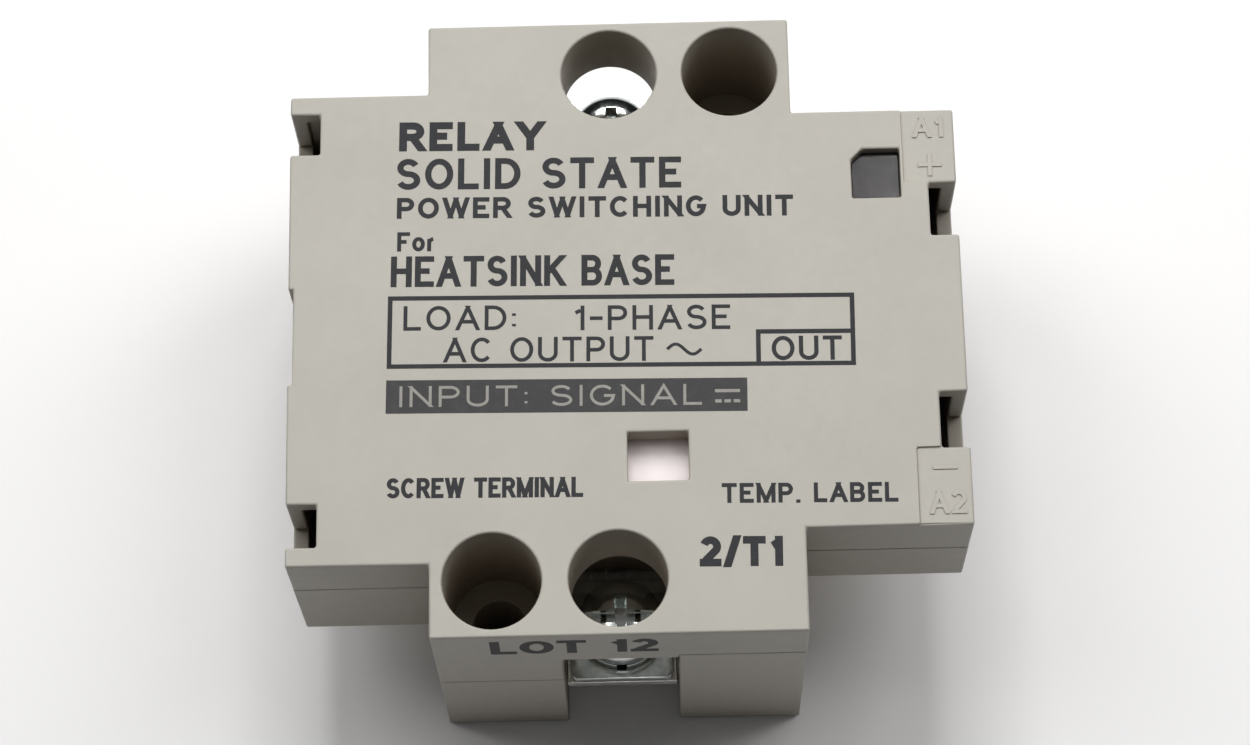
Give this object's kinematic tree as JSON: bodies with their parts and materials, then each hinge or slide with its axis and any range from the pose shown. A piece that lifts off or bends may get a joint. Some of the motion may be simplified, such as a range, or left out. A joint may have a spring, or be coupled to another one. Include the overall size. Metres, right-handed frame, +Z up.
{
  "type": "solid state relay",
  "caption": "Plug-in power cartridge of a solid state relay: grey case with side ears, M5 load terminals at both ends, input sockets under one ear and a metal base face.",
  "frame": {"origin": "centre of the metal base face that rests on the heatsink", "axes": "+Z up from the base towards the printed face, +X towards the input ear, +Y towards the rear load terminal"},
  "size_m": [0.0695, 0.067, 0.035],
  "materials": {
    "case_plastic": "light warm grey moulded plastic, fine matt texture",
    "terminal_steel": "bright zinc plated steel",
    "terminal_brass": "nickel plated brass",
    "base_metal": "machined flat",
    "ceramic": "white alumina",
    "copper": "bare copper",
    "silicon": "dark chip",
    "board_green": "solder mask",
    "contact_metal": "tin plated spring sheet",
    "lens_smoke": "smoky moulded lens",
    "led_red": "tinted epoxy",
    "label_pink": "printed paper label",
    "stand_plastic": "black moulded plastic",
    "component_black": "epoxy body",
    "capacitor_film": "boxed film capacitor",
    "resistor_body": "lacquered body",
    "varistor_blue": "epoxy dipped disc",
    "print_ink": "dark grey pad print",
    "pale_ink": "print left open in a dark panel"
  },
  "bodies": {
    "case": {"upper_case": "case_plastic", "lower_case": "case_plastic", "led_lens": "lens_smoke", "temp_label": "label_pink", "label_stand": "stand_plastic", "base_plate": "base_metal", "ceramic_substrate": "ceramic", "gate_pins": "contact_metal", "control_board": "board_green", "input_contact_a1": "contact_metal", "input_contact_a2": "contact_metal", "status_led": "led_red", "phototriac_coupler": "component_black", "snubber_capacitor": "capacitor_film", "snubber_resistor": "resistor_body", "input_resistors": "resistor_body", "varistor": "varistor_blue", "drive_transistor": "component_black", "copper_track_front": "copper", "thyristor_front": "silicon", "cathode_clip_front": "copper", "terminal_plate_front": "terminal_brass", "terminal_nut_front": "terminal_steel", "copper_track_rear": "copper", "thyristor_rear": "silicon", "cathode_clip_rear": "copper", "terminal_plate_rear": "terminal_brass", "terminal_nut_rear": "terminal_steel"},
    "front_clamp": {"spring_washer_front": "terminal_steel", "square_washer_front": "terminal_steel"},
    "front_screw": {"terminal_screw_front": "terminal_steel"},
    "rear_clamp": {"spring_washer_rear": "terminal_steel", "square_washer_rear": "terminal_steel"},
    "rear_screw": {"terminal_screw_rear": "terminal_steel"}
  },
  "joints": [
    {"name": "front_clamp_lift", "type": "slide", "parent": "case", "child": "front_clamp", "axis": [0, 0, 1], "range_m": [0, 0.0039]},
    {"name": "front_screw_turn", "type": "hinge", "parent": "front_clamp", "child": "front_screw", "pos_m": [0, -0.0276, 0.0176], "axis": [0, 0, 1], "range_deg": [0, 1755]},
    {"name": "rear_clamp_lift", "type": "slide", "parent": "case", "child": "rear_clamp", "axis": [0, 0, 1], "range_m": [0, 0.0039]},
    {"name": "rear_screw_turn", "type": "hinge", "parent": "rear_clamp", "child": "rear_screw", "pos_m": [0, 0.0276, 0.0176], "axis": [0, 0, 1], "range_deg": [0, 1755]}
  ],
  "couplings": [
    {"joint": "front_screw_turn", "follows": "front_clamp_lift", "rad_per_m": 7854},
    {"joint": "rear_screw_turn", "follows": "rear_clamp_lift", "rad_per_m": 7854}
  ]
}
